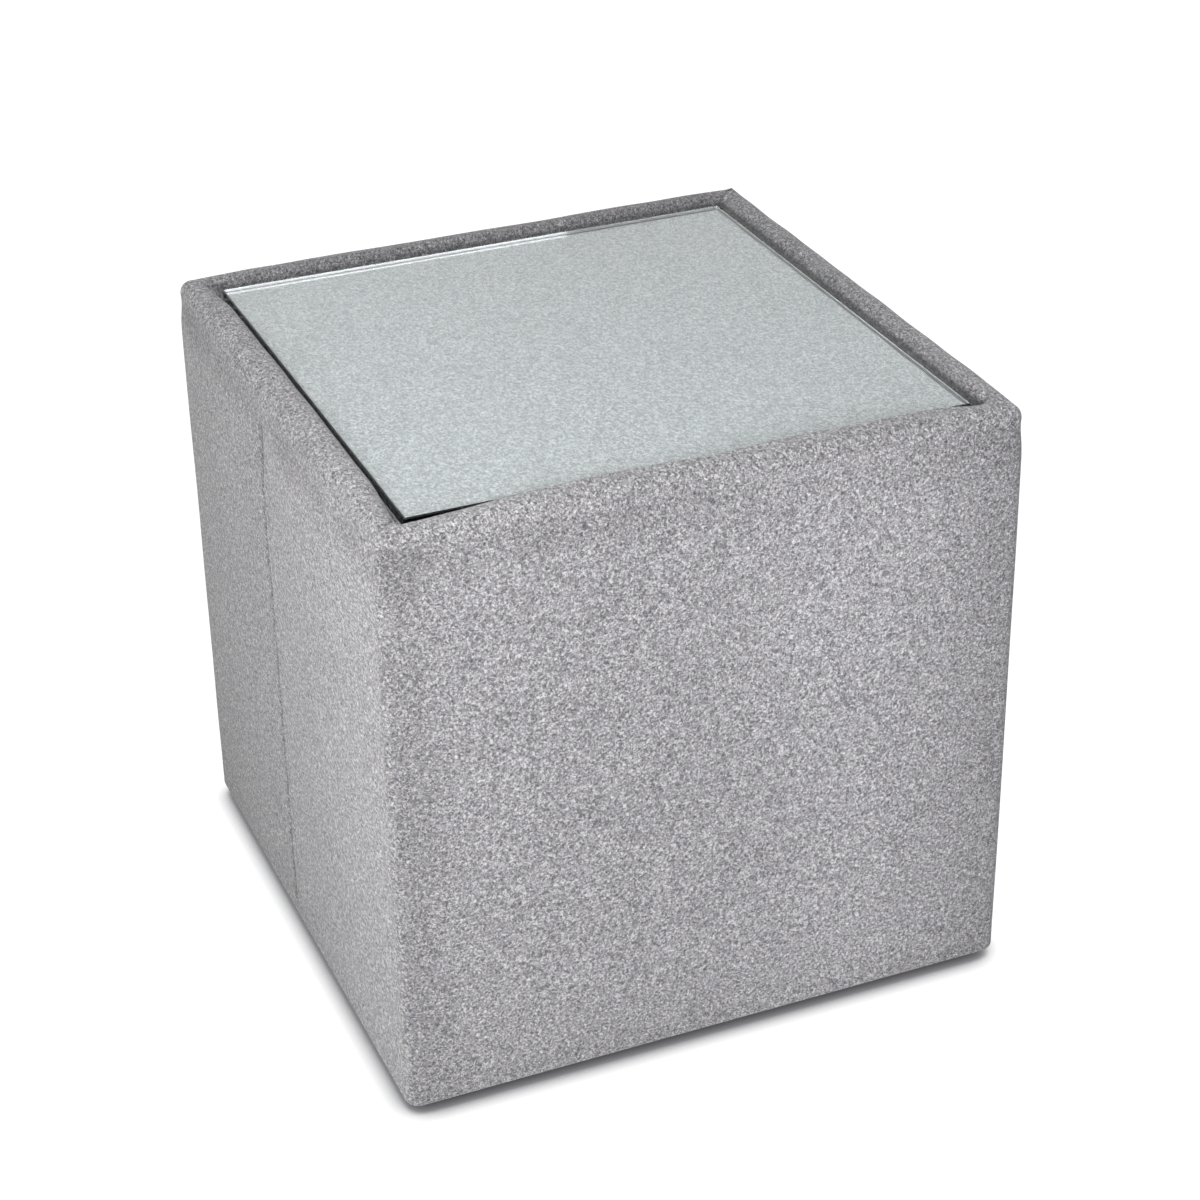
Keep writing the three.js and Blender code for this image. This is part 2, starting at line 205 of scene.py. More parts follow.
def make_camera():
    data = bpy.data.cameras.new("camera")
    camera = put_in_scene("camera", set_all(data, lens=LENS, sensor_width=SENSOR, sensor_fit="HORIZONTAL"))
    angles = (CAMERA_AZIMUTH, "Z"), (90 - CAMERA_ELEVATION, "X"), (CAMERA_ROLL, "Z")
    turn, tip, spin = [Matrix.Rotation(math.radians(angle), 3, axis) for angle, axis in angles]
    rotation = turn @ tip @ spin
    middle = Vector((0, 0, (FELT_BOTTOM + RIM_TOP) / 2))
    offset = rotation @ Vector((-CAMERA_ACROSS, -CAMERA_UP, CAMERA_DISTANCE))
    camera.matrix_world = Matrix.Translation(middle + offset) @ rotation.to_4x4()
    bpy.context.scene.camera = camera


def make_lights():
    for name, place, size, power, colour in LIGHTS:
        data = bpy.data.lights.new(name, "AREA")
        light = put_in_scene(name, set_all(data, shape="DISK", size=size, energy=power, color=colour))
        light.location = place
        aim = Vector(LIGHT_TARGET) - Vector(place)
        light.rotation_euler = aim.to_track_quat("-Z", "Y").to_euler()
    bpy.context.scene.view_settings.view_transform = "Standard"


def make_world():
    """Dark towards the camera and on the right, and white behind the box, as a lit backdrop is."""
    world = bpy.data.worlds.new("studio")
    world.use_nodes = True
    tree = world.node_tree
    way = add_node(tree, "SeparateXYZ", {0: add_node(tree, "TexCoord")}).node.outputs
    sweep = add_node(tree, "MapRange", {"Value": way["Y"], "From Min": -0.3, "To Max": BACKDROP_LIGHT})
    on_right = {"Value": way["X"], "From Min": 0.5, "From Max": 0.85, "To Min": 1.0, "To Max": 0.15}
    falloff = add_node(tree, "MapRange", on_right)
    light = add_node(tree, "Math", {0: sweep, 1: falloff}, operation="MULTIPLY")
    camera_ray = add_node(tree, "LightPath", output="Is Camera Ray")
    strength = add_node(tree, "Mix", {0: camera_ray, 2: light, 3: OVEREXPOSED})
    background = tree.nodes["Background"]
    background.inputs["Color"].default_value = (1, 1, 1, 1)
    tree.links.new(strength, background.inputs["Strength"])
    bpy.context.scene.world = world


def floor_material():
    """White, and overexposed to the camera, which sees a glow with only a painted contact shadow in the
    narrow gap under the box, darker where ambient occlusion finds the box near. It is clear when seen from
    below."""
    floor = Shader("white_floor", 0.85, Base_Color=(0.97, 0.97, 0.97, 1))
    # Painted contact shadow: the ambient occlusion is ramped to dark in the colour of the glow.
    openness = floor.add("AmbientOcclusion", {"Distance": FLOOR_SHADOW_REACH}, "AO", samples=16)
    shade = floor.ramp(openness, [
        (0.08, (0.04, 0.04, 0.045)),
        (0.45, (0.22, 0.22, 0.23)),
        (0.62, (0.66, 0.66, 0.67)),
        (0.84, (1, 1, 1)),
    ])
    glow_with_painted_shadow = floor.add("Emission", {"Strength": OVEREXPOSED, "Color": shade})
    camera_ray = floor.add("LightPath", output="Is Camera Ray")
    seen = floor.add("MixShader", {0: camera_ray, 1: floor.surface.outputs[0], 2: glow_with_painted_shadow})
    from_below = floor.add("NewGeometry", output="Backfacing")
    floor.show(from_below, seen, floor.add("BsdfTransparent"))
    return floor.material


def make_floor():
    corners = [(*turned((-FLOOR_REACH, -FLOOR_REACH), quarters), 0) for quarters in range(4)]
    floor = put_mesh("floor", corners, [(0, 1, 2, 3)])
    floor.data.materials.append(floor_material())


# ---------------- materials


def bands_scale(period):
    """The Scale that makes a wave texture's bands repeat at this distance in metres."""
    return math.pi / 10 / period


def felt_material(name, dark, dim, fair, light):
    """Heathered felt: light and dark fibres pressed together and combed one way, softly mottled, with
    painted light and shade from the mesh multiplied in.
    """
    felt = Shader(name, 0.95, Sheen_Weight=0.2, Sheen_Roughness=0.6, Specular_IOR_Level=0.15)
    combed = felt.stretched((1, 0.7, 1))
    clumps = felt.noise(560, 3.0, 0.62, 0.9, combed)
    fibres = felt.noise(1500, 2.0, 0.6, 0.4, combed)
    grain = felt.summed(clumps, 0.68, fibres, 0.32)
    heather = felt.ramp(grain, [(0.39, dark), (0.47, dim), (0.54, fair), (0.63, light)])
    mottled = felt.stained(heather, (0.8, 0.8, 0.81), 0.5, felt.noise(14, 3.0, 0.6))
    # Painted light and shade, read from the mesh's attribute and multiplied into the colour.
    painted_light = felt.add("Attribute", output="Fac", attribute_name="painted_light")
    felt.feed("Base Color", felt.mixed(1.0, mottled, painted_light, "MULTIPLY"))
    felt.bump(grain, 0.55, 0.9 * MM)
    return felt.material


def foam_material():
    foam = Shader("polyether_foam", 0.95)
    pores = foam.cells(900)
    body = foam.ramp(pores, [(0.1, (0.45, 0.4, 0.27)), (0.5, (0.83, 0.77, 0.6))])
    foam.feed("Base Color", foam.stained(body, (0.86, 0.8, 0.66), 0.5, foam.noise(30, 3.0)))
    foam.bump(pores, 0.6, 0.6 * MM)
    return foam.material


def plywood_material(name, grain_scale, layer_axis):
    """Birch plywood: long grain on its faces, and thin layers of veneer along its edges."""
    ply = Shader(name, 0.6)
    along = ply.stretched(grain_scale)
    grain = ply.noise(1.0, 6.0, 0.6, 0.4, along)
    rays = ply.noise(5.0, 3.0, 0.6, 0.2, along)
    body = ply.ramp(grain, [(0.3, (0.36, 0.22, 0.11)), (0.5, (0.58, 0.4, 0.22)), (0.7, (0.7, 0.53, 0.33))])
    layers = ply.bands(bands_scale(3 * MM), layer_axis, 0.3)
    veneers = ply.ramp(layers, [(0.3, (1, 1, 1)), (0.7, (0.62, 0.52, 0.42))])
    rayed = ply.stained(body, (0.5, 0.36, 0.22), 0.35, rays)
    ply.feed("Base Color", ply.mixed(0.7, rayed, veneers, "MULTIPLY"))
    ply.roughness(rays, 0.5, 0.75)
    ply.bump(grain, 0.25, 0.4 * MM)
    return ply.material


def softwood_material(name, grain_scale):
    pine = Shader(name, 0.65)
    along = pine.stretched(grain_scale)
    rings = pine.bands(3.0, "Y", 5.0, 3.0, along)
    fine = pine.noise(8.0, 4.0, 0.6, 0.1, along)
    body = pine.ramp(rings, [(0.2, (0.72, 0.53, 0.3)), (0.75, (0.6, 0.4, 0.2)), (0.95, (0.45, 0.27, 0.12))])
    pine.feed("Base Color", pine.stained(body, (0.75, 0.62, 0.42), 0.4, fine))
    pine.roughness(fine, 0.5, 0.8)
    pine.bump(fine, 0.3, 0.4 * MM)
    return pine.material


def woven_material(name, dark, light, threads_per_metre):
    """A plain weave: threads along each axis, with the odd thicker one."""
    cloth = Shader(name, 0.85, Sheen_Weight=0.15, Sheen_Roughness=0.5)
    scale = bands_scale(1 / threads_per_metre)
    warp, weft, cross = [cloth.bands(scale, axis, 0.6) for axis in ("X", "Z", "Y")]
    weave = cloth.maths("MULTIPLY", cloth.maths("ADD", warp, weft), 0.5)
    weave = cloth.maths("MULTIPLY", cloth.maths("ADD", weave, cross), 0.5)
    fac = cloth.summed(weave, 0.6, cloth.noise(60, 4.0, 0.6), 0.4)
    cloth.feed("Base Color", cloth.ramp(fac, [(0.25, dark), (0.75, light)]))
    cloth.bump(weave, 0.4, 0.3 * MM)
    return cloth.material


def nonwoven_material():
    """Pressed black polypropylene cloth, with its grid of weld dots."""
    cloth = Shader("nonwoven_cloth", 0.8)
    fibres = cloth.noise(1800, 3.0, 0.7, 1.5)
    fac = cloth.summed(cloth.cells(700), 0.6, fibres, 0.5)
    cloth.feed("Base Color", cloth.ramp(fac, [(0.3, (0.008, 0.008, 0.009)), (0.9, (0.05, 0.05, 0.055))]))
    cloth.roughness(fibres, 0.6, 0.9)
    cloth.bump(fac, 0.5, 0.2 * MM)
    return cloth.material


def plastic_material():
    plastic = Shader("moulded_plastic", 0.45)
    scuffs = plastic.noise(120, 5.0, 0.75, 1.0)
    body = plastic.ramp(scuffs, [(0.35, (0.014, 0.014, 0.015)), (0.8, (0.05, 0.05, 0.052))])
    plastic.feed("Base Color", body)
    plastic.roughness(scuffs, 0.35, 0.7)
    plastic.bump(plastic.noise(2500, 2.0, 0.5), 0.25, 0.05 * MM)
    return plastic.material


def steel_material():
    steel = Shader("zinc_plated_steel", 0.35, Metallic=1.0)
    rolled = steel.noise(900, 3.0, 0.6, 0.0, steel.stretched((1, 1, 8)))
    patina = steel.noise(200, 4.0, 0.6)
    steel.feed("Base Color", steel.ramp(patina, [(0.3, (0.5, 0.5, 0.53)), (0.8, (0.72, 0.72, 0.7))]))
    steel.roughness(rolled, 0.25, 0.5)
    steel.bump(rolled, 0.15, 0.05 * MM)
    return steel.material


def glass_material():
    """Clear float glass, faintly green and dusty, with a ground arris round its edges. It lets light
    through to what is under it."""
    glass = Shader("float_glass", 0.0, IOR=1.52, Transmission_Weight=1.0)
    normal = glass.add("NewGeometry", output="True Normal")
    tilt = glass.maths("ABSOLUTE", glass.add("SeparateXYZ", {0: normal}, "Z"))
    arris = glass.ramp(tilt, [(0.3, (0, 0, 0)), (0.5, (1, 1, 1)), (0.9, (1, 1, 1)), (0.97, (0, 0, 0))])
    dust = glass.noise(40, 5.0, 0.7)
    body = glass.ramp(dust, [(0.3, (0.925, 0.97, 0.97)), (0.8, (0.945, 0.98, 0.98))])
    glass.feed("Base Color", glass.mixed(arris, body, (0.8, 0.83, 0.83)))
    glass.feed("Roughness", glass.summed(dust, 0.03, arris, 0.3))
    clear = glass.add("BsdfTransparent", {"Color": (0.93, 0.965, 0.965)})
    glass.show(glass.add("LightPath", output="Is Shadow Ray"), glass.surface.outputs[0], clear)
    return glass.material


# ---------------- mesh building


def smooth_step(value, low, high):
    t = np.clip((value - low) / (high - low), 0, 1)
    return t * t * (3 - 2 * t)


def hill(value, middle, spread):
    return np.exp(-(((value - middle) / spread) ** 2))


def soft_noise(points, size, seed=0.0):
    """Smooth noise from -1 to 1 with lumps of about that size, at each point."""
    shift = Vector((seed * 7.3, seed * 3.1, seed * 5.7))
    values = [noise.noise(Vector(p) / size + shift) for p in points.reshape(-1, 3)]
    return np.array(values).reshape(points.shape[:-1])


def spaced(length, spots, coarse, fine, spread):
    """Places from 0 to length, closer together round the spots."""
    fine_grid = np.linspace(0, length, 2001)
    density = np.full_like(fine_grid, 1 / coarse)
    for spot in spots:
        density = np.maximum(density, 1 / coarse + (1 / fine - 1 / coarse) * hill(fine_grid, spot, spread))
    total = np.concatenate([[0], np.cumsum((density[1:] + density[:-1]) / 2 * np.diff(fine_grid))])
    count = int(math.ceil(total[-1]))
    return np.interp(np.linspace(0, total[-1], count + 1), total, fine_grid)


def at_height(flat, height):
    """Points in a level plane, given their X and Y."""
    return np.column_stack([flat, np.full(len(flat), height)])


def heading(angle):
    return np.array([math.cos(angle), math.sin(angle)])


def turned(point, quarters):
    x, y = point
    for _ in range(quarters):
        x, y = -y, x
    return x, y


SIDES = ["front", "right", "back", "left"]


class Stations:
    """The columns of a mesh that goes round a rounded square, anticlockwise from the front's left end.
    Each column has its corner-centre direction, its facing angle, its side and its place along it."""

    def __init__(self, run, corner_steps, coarse, fine, spread, spots=None):
        rows = []
        for index, side in enumerate(SIDES):
            facing = (index - 1) * math.pi / 2
            normal = heading(facing)
            along = np.array(turned(normal, 1))
            extra = [run / 2 + s for s in (spots or {}).get(side, [])]
            for place in spaced(run, [0, run, *extra], coarse, fine, spread)[:-1]:
                t = 2 * place / run - 1
                rows.append((*(normal + t * along), facing, index, t, 0.0))
            for step in range(corner_steps):
                share = step / corner_steps
                rows.append((*(normal + along), facing + share * math.pi / 2, index, 1.0, share))
        table = np.array(rows)
        self.centre = table[:, :2]
        angle, side, self.t, self.share = table[:, 2:].T
        self.side = side.astype(int)
        self.facing = np.stack([np.cos(angle), np.sin(angle)], axis=1)
        self.around = self.side * 3.0 + self.t + 1 + self.share  # a column's order round the box

    def loop(self, half, radius, height):
        return at_height(self.centre * (half - radius) + self.facing * radius, height)

    def outward(self, slope_degrees):
        """The outward directions of a grid whose rows lean at these angles."""
        slope = np.radians(slope_degrees)[:, None]
        level = np.cos(slope)[..., None] * np.pad(self.facing, ((0, 0), (0, 1)))[None]
        return level + np.sin(slope)[..., None] * np.array([0, 0, 1])

    def by_side(self, front, right, back, left):
        """A value for each side, blended from one to the next round the corners."""
        values = np.array([front, right, back, left, front], float)
        return (values[self.side] * (1 - self.share) + values[self.side + 1] * self.share)[None, :]

    def on(self, side):
        return (self.side == SIDES.index(side))[None, :]


def rounded_outline(half, chop, radius, spacing):
    """Points and outward directions round a square whose corners may be cut off, anticlockwise."""
    ends = [(half, chop - half), (half, half - chop)] if chop else [(half, half)]
    corners = np.array([turned(end, quarters) for quarters in range(4) for end in ends])
    points, normals = [], []
    for corner, before, after in zip(corners, np.roll(corners, 1, 0), np.roll(corners, -1, 0)):
        arriving = (corner - before) / np.linalg.norm(corner - before)
        leaving = (after - corner) / np.linalg.norm(after - corner)
        first = math.atan2(-arriving[0], arriving[1])
        turn = math.acos(float(np.clip(arriving @ leaving, -1, 1)))
        setback = radius * math.tan(turn / 2)
        start = corner - arriving * setback
        centre = start - radius * heading(first)
        for share in np.linspace(0, 1, 7):
            normal = heading(first + turn * share)
            points.append(centre + radius * normal)
            normals.append(normal)
        length = np.linalg.norm(after - corner) - 2 * setback
        count = max(2, int(length / spacing))
        for share in np.arange(1, count) / count:
            points.append(corner + leaving * (setback + share * length))
            normals.append(normal)
    return np.array(points), np.array(normals)


def grid_faces(rows, columns, flip=False, closed=True):
    """Faces of a grid of points, which goes round and meets itself if it is closed."""
    faces = []
    for row in range(rows - 1):
        for column in range(columns if closed else columns - 1):
            beside = (column + 1) % columns
            low = row * columns
            high = low + columns
            face = (low + column, low + beside, high + beside, high + column)
            faces.append(face[::-1] if flip else face)
    return faces


def fan_faces(first, columns, centre, flip=False):
    """Closes the loop that starts at a point's index onto a centre point."""
    faces = [(first + i, first + (i + 1) % columns, centre) for i in range(columns)]
    return [face[::-1] for face in faces] if flip else faces


def new_piece(name, points, faces, material, body, slot, stands_for=None):
    """A smooth visual piece, which may stand for a CAD node."""
    piece = put_mesh(name, points, faces)
    piece.data.validate()
    piece.data.materials.append(material)
    piece.data.polygons.foreach_set("use_smooth", [True] * len(piece.data.polygons))
    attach(piece, body)
    if stands_for:
        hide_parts(stands_for)
    return piece


def set_painted_light(piece, painted_light):
    """Painted light and shade on the cloth at each point, where 1 is as dyed, for the shader to multiply in.
    """
    layer = piece.data.attributes.new("painted_light", "FLOAT", "POINT")
    layer.data.foreach_set("value", np.asarray(painted_light, np.float32).ravel())


def apply_modifiers(piece):
    graph = bpy.context.evaluated_depsgraph_get()
    mesh = bpy.data.meshes.new_from_object(piece.evaluated_get(graph))
    piece.modifiers.clear()
    piece.data = mesh


def thicken(piece, thickness, offset=-1):
    """Gives a sheet its thickness, behind the side that shows unless told otherwise."""
    solid = piece.modifiers.new("thickness", "SOLIDIFY")
    set_all(solid, thickness=thickness, offset=offset, use_even_offset=False)
    apply_modifiers(piece)


def tube(path, radius, sides=6):
    """Points and faces of a wire with closed ends along a path."""
    path = [Vector(p) for p in path]
    rings = []
    side = None
    for before, here, after in zip([path[0], *path[:-1]], path, [*path[1:], path[-1]]):
        along = (after - before).normalized()
        if side is None:
            side = along.orthogonal()
        side = (side - along * side.dot(along)).normalized()
        other = along.cross(side)
        angles = [2 * math.pi * i / sides for i in range(sides)]
        rings += [here + radius * (math.cos(a) * side + math.sin(a) * other) for a in angles]
    points = [*rings, path[0], path[-1]]
    last = (len(path) - 1) * sides
    faces = grid_faces(len(path), sides)
    faces += fan_faces(0, sides, len(points) - 2, flip=True)
    faces += fan_faces(last, sides, len(points) - 1)
    return points, faces


def joined(parts):
    """Several lists of points and faces as one."""
    points, faces = [], []
    for part_points, part_faces in parts:
        start = len(points)
        points += [tuple(p) for p in part_points]
        faces += [tuple(start + i for i in face) for face in part_faces]
    return points, faces


# ---------------- the outer cover


def arc(x, y, radius, first, last, steps, with_end=False):
    """(x, y, direction in degrees) along an arc round a centre."""
    rows = []
    for step in range(steps + with_end):
        direction = first + (last - first) * step / steps
        angle = math.radians(direction)
        rows.append((x + radius * math.cos(angle), y + radius * math.sin(angle), direction))
    return rows


def bend_rows(inset, height, radius, first, last, steps, with_end=False):
    """Rows of a profile round a bend. Each is (inset from the face, height, slope of its normal)."""
    return [(-x, y, slope) for x, y, slope in arc(-inset, height, radius, first, last, steps, with_end)]


def flat_rows(start, end, slope, steps, with_end=False):
    """Rows of a profile from one (inset, height) to another."""
    rows = []
    for step in range(steps + with_end):
        inset, height = [near + step / steps * (far - near) for near, far in zip(start, end)]
        rows.append((inset, height, slope))
    return rows


def cover_profile(arcs, coarse, fine):
    """Rows of the cover from the hem under the base to its end inside the rim."""
    low = FELT_BOTTOM + BOTTOM_RADIUS
    high = RIM_TOP - RIM_OUTER_RADIUS
    inner = RIM_WIDTH - RIM_INNER_RADIUS
    inner_top = RIM_TOP - RIM_INNER_RADIUS
    rows = flat_rows((BASE_HEM, FELT_BOTTOM), (BOTTOM_RADIUS, FELT_BOTTOM), -90.0, 5)
    rows += bend_rows(BOTTOM_RADIUS, low, BOTTOM_RADIUS, -90, 0, arcs // 2)
    places = spaced(high - low, [0, high - low], coarse, fine, 22 * MM)[:-1]
    rows += [(0.0, low + place, 0.0) for place in places]
    rows += bend_rows(RIM_OUTER_RADIUS, high, RIM_OUTER_RADIUS, 0, 90, arcs)
    rows += flat_rows((RIM_OUTER_RADIUS, RIM_TOP), (inner, RIM_TOP), 90.0, max(2, arcs // 3))
    rows += bend_rows(inner, inner_top, RIM_INNER_RADIUS, 90, 180, arcs)
    rows += flat_rows((RIM_WIDTH, inner_top), (RIM_WIDTH, LEDGE_TOP + GAP), 180.0, arcs - 1, with_end=True)
    return np.array(rows)


def distance_from_crown(profile):
    """Distance along the cloth from the middle of the rim's top, negative on the outside."""
    steps = np.hypot(np.diff(profile[:, 0]), np.diff(profile[:, 1]))
    along = np.concatenate([[0], np.cumsum(steps)])
    top_start = along[int(np.argmax(profile[:, 2] == 90))]
    return along - top_start - (RIM_WIDTH - RIM_INNER_RADIUS - RIM_OUTER_RADIUS) / 2


def wrapped_points(stations, profile, half, corner, least):
    """A grid of points, one loop for each row, whose corner radius shrinks as the row comes in."""
    loops = []
    for inset, height, _ in profile:
        radius = min(max(corner - inset, least), half - inset)
        loops.append(stations.loop(half - inset, radius, height))
    return np.array(loops)


CLOTH_STEP = 12 * MM
CLOTH_FRAMES = 20
CLOTH_CAP = (-0.6 * MM, 3.2 * MM)
CLOTH_SETTINGS = dict(
    quality=5,
    mass=0.3,
    tension_stiffness=25,
    compression_stiffness=25,
    shear_stiffness=15,
    bending_stiffness=2,
    use_pressure=True,
    uniform_pressure_force=1.0,
    vertex_group_mass="held",
)


def held_points(points, crown, stations):
    """Which points of the cover its hems, upright corners and seam hold in place."""
    at_hem = (points[..., 2] < FELT_BOTTOM + 2 * BOTTOM_RADIUS) | (crown[:, None] > 17 * MM)
    at_corner = (np.abs(stations.t) > 0.97)[None, :]
    at_seam = stations.on("left") & (np.abs(points[..., 1] - SEAM_PLACE) < CLOTH_STEP / 2)
    return at_hem | (at_corner | at_seam) & (points[..., 2] < RIM_TOP - 24 * MM)


def cloth_lift():
    """A coarse copy of the cover is blown against its own tension as cloth. Gives the copy's
    columns, rows and how far each point moved outwards."""
    stations = Stations(RUN, 2, CLOTH_STEP, CLOTH_STEP, CLOTH_STEP)
    profile = cover_profile(4, CLOTH_STEP, CLOTH_STEP)
    crown = distance_from_crown(profile)
    points = wrapped_points(stations, profile, HALF, CORNER_RADIUS, RECESS_CORNER_RADIUS)
    faces = grid_faces(len(profile), len(stations.t))
    cover = put_mesh("blown_cover", points.reshape(-1, 3), faces)
    held = np.flatnonzero(held_points(points, crown, stations))
    cover.vertex_groups.new(name="held").add(held.tolist(), 1.0, "REPLACE")
    cloth = cover.modifiers.new("cloth", "CLOTH")
    set_all(cloth.settings, **CLOTH_SETTINGS)
    cloth.settings.effector_weights.gravity = 0
    cloth.collision_settings.use_collision = False
    set_all(cloth.point_cache, frame_start=1, frame_end=CLOTH_FRAMES)
    scene = bpy.context.scene
    for step in range(1, CLOTH_FRAMES + 1):
        scene.frame_set(step)
    blown = cover.evaluated_get(bpy.context.evaluated_depsgraph_get()).data
    moved = np.empty(points.size, np.float32)
    blown.vertices.foreach_get("co", moved)
    lift = ((moved.reshape(points.shape) - points) * stations.outward(profile[:, 2])).sum(-1)
    bpy.data.objects.remove(cover)
    scene.frame_set(1)
    return stations.around, crown, np.clip(lift, *CLOTH_CAP)


def cloth_relief(stations, crown):
    """The blown copy's lift, spread over the fine mesh's rows and columns."""
    around, rows, lift = cloth_lift()
    across = np.array([np.interp(stations.around, around, row, period=12.0) for row in lift])
    return np.array([np.interp(crown, rows, column) for column in across.T]).T


# Creases where the felt turns over the rim's corners, in millimetres. Each runs between two places
# out from the recess's corner along X and Y. The side tells which edge of it stands up, and dark how much
# shade is painted along its groove. The rows are (corner, start, end, cut, width, lip, dark, side).
CREASES = [
    ((1, 1), (-1, -1), (19, 19), 0.8, 0.7, 0.6, 0.35, -1),
    ((1, 1), (13, 12), (21, 20), 2.0, 1.0, 1.0, 0.75, -1),
    ((1, 1), (-13, 0), (-12, 12), 0.7, 1.0, 0.4, 0.3, 1),
    ((1, -1), (-2, -1), (19, 2), 1.3, 0.9, 1.2, 0.65, 1),
    ((-1, -1), (2, -2), (14, 7), 1.9, 1.2, 1.2, 0.8, 1),
    ((-1, 1), (0, 1), (5, 11), 0.5, 0.8, 0.2, 0.3, 1),
]


def crease_shape(points, crown):
    """How far the creases lift or sink each point, and how much shade is painted along them."""
    lift = np.zeros(points.shape[:-1])
    painted_shade = np.zeros(points.shape[:-1])
    v = crown[:, None] / MM
    on_top = smooth_step(v, -26, -18) * (1 - smooth_step(v, 14, 20))
    for corner, start, end, cut, width, lip, dark, side in CREASES:
        from_start = (points[..., :2] * np.array(corner) - RECESS_HALF) / MM - start
        path = np.array(end) - start
        length = np.linalg.norm(path)
        path = path / length
        share = (from_start @ path) / length
        across = side * (from_start[..., 1] * path[0] - from_start[..., 0] * path[1])
        here = smooth_step(share, -0.02, 0.15) * (1 - smooth_step(share, 0.75, 1.02)) * on_top
        raised = smooth_step(across, 0.2 * width, 1.4 * width) * np.exp(-np.maximum(across, 0) / 5)
        lift += here * (lip * raised - cut * hill(across, 0, width)) * MM
        # Painted shade along each crease's groove.
        painted_shade += here * dark * hill(across, 0, 0.9 * width)
    return lift, painted_shade


def seam_shape(points, stations):
    """The upright seam on the left side, with small puckers along it and a bent tuck at its top. Shade is
    painted along its valley and in the tuck.
    """
    height = points[..., 2] / MM
    below_rim = RIM_TOP / MM - height
    bend = 7 * np.exp(-np.maximum(below_rim - 26, 0) / 22)
    across = (points[..., 1] - SEAM_PLACE) / MM + bend
    here = stations.on("left") * smooth_step(height, 8, 30) * smooth_step(below_rim, 22, 32)
    wave = soft_noise(points * np.array([1, 1, 2.2]), 26 * MM, 5)
    top = hill(below_rim, 42, 20)
    valley = -1.3 * hill(across, 0, 1.7)
    shoulders = 0.5 * (hill(across, 6, 5) + hill(across, -6, 5))
    pucker = 0.5 * wave * hill(across, 0, 11)
    tuck = -2.0 * top * hill(across, 3, 8)
    lift = here * (valley + shoulders + pucker + tuck) * MM
    # Painted shade along the seam's valley and in the tuck, and a little darker on the panel beyond it.
    line = 0.3 * hill(across, 0.3, 2.3) + 0.42 * top * hill(across, 2, 6)
    beyond = 0.05 * smooth_step(across, 0, 4) * (1 - smooth_step(across, 90, 190))
    return lift, here * (line + beyond)


# How far from each end of a side the felt hangs back from the glass, in millimetres.
SLACK_REACH = {"front": (64, 20), "right": (12, 12), "back": (16, 12), "left": (26, 34)}


def corner_slack(stations):
    """1 at the corners of the recess, falling to 0 along the sides, for each column."""
    slack = np.maximum(np.abs(stations.t) >= 1, 0.0)
    for side, (first, last) in SLACK_REACH.items():
        here = (stations.side == SIDES.index(side)) & (stations.share == 0)
        from_first, from_last = (1 + stations.t) * RUN / 2, (1 - stations.t) * RUN / 2
        near = hill(from_first, 0, first * MM) + hill(from_last, 0, last * MM)
        slack = np.where(here, np.minimum(near, 1), slack)
    return slack[None, :]


def corner_point(stations, corner):
    """How far each column of a corner moves out to make its round outline a sharp one."""
    from_middle = (stations.share - 0.5) * math.pi / 2
    reach = 1 / np.cos(math.pi / 4 - np.abs(from_middle)) - 1
    here = (stations.side == corner) & (stations.share > 0)
    return np.where(here, reach, 0.0)[None, :]


def cover_lift(points, profile, crown, stations):
    """How the padding and the pull of the cloth move it out from the plain box."""
    t = stations.t[None, :]
    v = crown[:, None] / MM
    slack = corner_slack(stations)
    lumps = soft_noise(points, 95 * MM, 1)
    small = soft_noise(points, 34 * MM, 2)
    at_tab = stations.on("front") * hill(points[..., 0], 0, 22 * MM)
    beside_glass = smooth_step(v, 2, 8) * (1 - smooth_step(v, 16, 22))
    bulge = stations.by_side(1.5, -1.9, -1.7, 0.2) * (1 - slack) * (1 - at_tab)
    lift = beside_glass * (bulge - 2.5 * slack)
    lift += 1.3 * hill(v, 0, 12) * (1 - t**6) - 1.4 * hill(v, 3, 8) * slack
    lift -= (1.1 + 0.6 * lumps) * hill(v, -25, 12)
    lift -= 0.7 * hill(v, -24, 14) * hill(1 - np.abs(t), 0, 0.12)
    lift += 0.5 * lumps * smooth_step(v, -420, -380) + 0.6 * small * hill(v, 0, 30)
    radius = np.maximum(CORNER_RADIUS - profile[:, 0], RECESS_CORNER_RADIUS)[:, None]
    ear = 0.9 * hill(v, -8, 15) * radius * corner_point(stations, SIDES.index("right"))
    return lift * MM + ear


